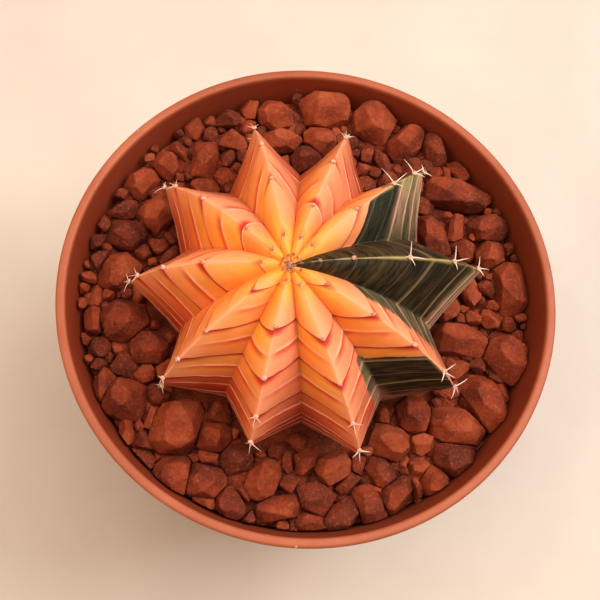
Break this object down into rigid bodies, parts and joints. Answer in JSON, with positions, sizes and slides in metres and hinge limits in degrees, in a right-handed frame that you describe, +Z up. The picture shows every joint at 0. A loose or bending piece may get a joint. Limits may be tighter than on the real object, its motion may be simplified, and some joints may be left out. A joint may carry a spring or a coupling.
{
  "type": "potted moon cactus",
  "caption": "Flattened globe cactus with sharp ribs, variegated orange, pink and dark green, in a round terracotta-coloured plastic pot topped with red-brown stone chips.",
  "frame": {"origin": "centre of the pot's foot, on the surface that the pot stands on", "axes": "+Z up along the pot's axis; +Y towards the side where the grit is heaped highest; the cactus's crown leans a little towards -X"},
  "size_m": [0.1, 0.1, 0.0986],
  "materials": {
    "pot_plastic": "matt terracotta-coloured moulded plastic",
    "potting_soil": "dark, damp and crumbly",
    "fine_grit": "rough red-brown crushed stone",
    "red_stone": "matt broken red-brown stone",
    "cactus_skin": "satin, waxy skin in orange, pink and dark green",
    "areole_wool": "short felted plant wool",
    "spines": "pale, dry and slightly glossy"
  },
  "bodies": {
    "root": {"pot": "pot_plastic", "soil": "potting_soil", "grit_bed": "fine_grit", "cactus_body": "cactus_skin", "crown_wool": "areole_wool", "spines_rib_01": "spines", "spines_rib_02": "spines", "spines_rib_03": "spines", "spines_rib_04": "spines", "spines_rib_05": "spines", "spines_rib_06": "spines", "spines_rib_07": "spines", "spines_rib_08": "spines", "spines_rib_09": "spines", "spines_rib_10": "spines", "stone_01": "red_stone", "stone_02": "red_stone", "stone_03": "red_stone", "stone_04": "red_stone", "stone_05": "red_stone", "stone_06": "red_stone", "stone_07": "red_stone", "stone_08": "red_stone", "stone_09": "red_stone", "stone_10": "red_stone", "stone_11": "red_stone", "stone_12": "red_stone", "stone_13": "red_stone", "stone_14": "red_stone", "stone_15": "red_stone", "stone_16": "red_stone", "stone_17": "red_stone", "stone_18": "red_stone", "stone_19": "red_stone", "stone_20": "red_stone", "stone_21": "red_stone", "stone_22": "red_stone", "stone_23": "red_stone", "stone_24": "red_stone", "stone_25": "red_stone", "stone_26": "red_stone", "stone_27": "red_stone", "stone_28": "red_stone", "stone_29": "red_stone", "stone_30": "red_stone", "stone_31": "red_stone", "stone_32": "red_stone", "stone_33": "red_stone", "stone_34": "red_stone", "stone_35": "red_stone", "stone_36": "red_stone", "stone_37": "red_stone", "stone_38": "red_stone", "stone_39": "red_stone", "stone_40": "red_stone", "stone_41": "red_stone", "stone_42": "red_stone", "stone_43": "red_stone", "stone_44": "red_stone", "stone_45": "red_stone"}
  },
  "joints": []
}
